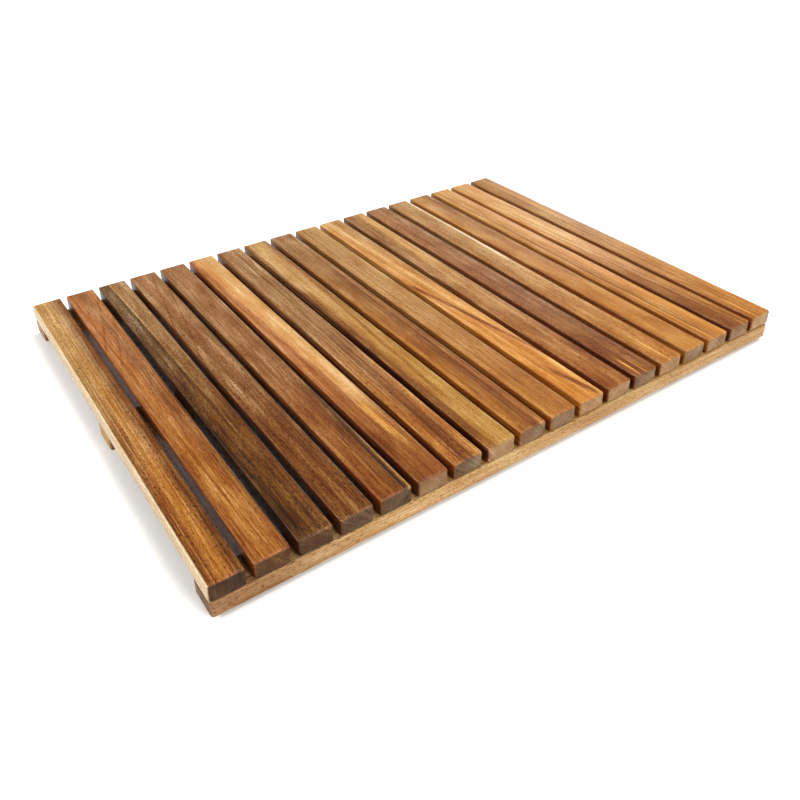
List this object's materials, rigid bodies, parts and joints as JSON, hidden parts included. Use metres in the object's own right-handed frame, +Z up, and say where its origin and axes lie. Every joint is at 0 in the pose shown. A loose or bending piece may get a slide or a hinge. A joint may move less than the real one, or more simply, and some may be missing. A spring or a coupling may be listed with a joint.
{
  "type": "bath mat",
  "caption": "Rigid slatted wooden bath mat: eased slats side by side with drain gaps, screwed from below to cross runners that stand on small rubber feet.",
  "frame": {"origin": "on the floor, under the middle of the mat", "axes": "+X along the row of slats, +Y along each slat from its front end to its back end, +Z up from the floor"},
  "size_m": [0.6, 0.44, 0.0336],
  "materials": {
    "acacia_straw": "satin, oiled acacia",
    "acacia_honey": "satin, oiled acacia",
    "acacia_copper": "satin, oiled acacia",
    "acacia_umber": "satin, oiled acacia",
    "acacia_walnut": "satin, oiled acacia",
    "acacia_tan": "satin, oiled acacia",
    "acacia_olive": "satin, oiled acacia",
    "acacia_runner": "satin, oiled acacia",
    "foot_rubber": "matt moulded rubber",
    "stainless_steel": "plain stainless steel"
  },
  "bodies": {
    "root": {"slat_01": "acacia_straw", "slat_02": "acacia_copper", "slat_03": "acacia_umber", "slat_04": "acacia_walnut", "slat_05": "acacia_walnut", "slat_06": "acacia_honey", "slat_07": "acacia_tan", "slat_08": "acacia_olive", "slat_09": "acacia_tan", "slat_10": "acacia_straw", "slat_11": "acacia_honey", "slat_12": "acacia_copper", "slat_13": "acacia_tan", "slat_14": "acacia_straw", "slat_15": "acacia_honey", "slat_16": "acacia_honey", "slat_17": "acacia_copper", "slat_18": "acacia_honey", "runner_front": "acacia_runner", "runner_middle": "acacia_runner", "runner_back": "acacia_runner", "foot_front_left": "foot_rubber", "foot_front_middle": "foot_rubber", "foot_front_right": "foot_rubber", "foot_middle_left": "foot_rubber", "foot_middle_middle": "foot_rubber", "foot_middle_right": "foot_rubber", "foot_back_left": "foot_rubber", "foot_back_middle": "foot_rubber", "foot_back_right": "foot_rubber", "foot_screw_front_left": "stainless_steel", "foot_screw_front_middle": "stainless_steel", "foot_screw_front_right": "stainless_steel", "foot_screw_middle_left": "stainless_steel", "foot_screw_middle_middle": "stainless_steel", "foot_screw_middle_right": "stainless_steel", "foot_screw_back_left": "stainless_steel", "foot_screw_back_middle": "stainless_steel", "foot_screw_back_right": "stainless_steel"}
  },
  "joints": []
}
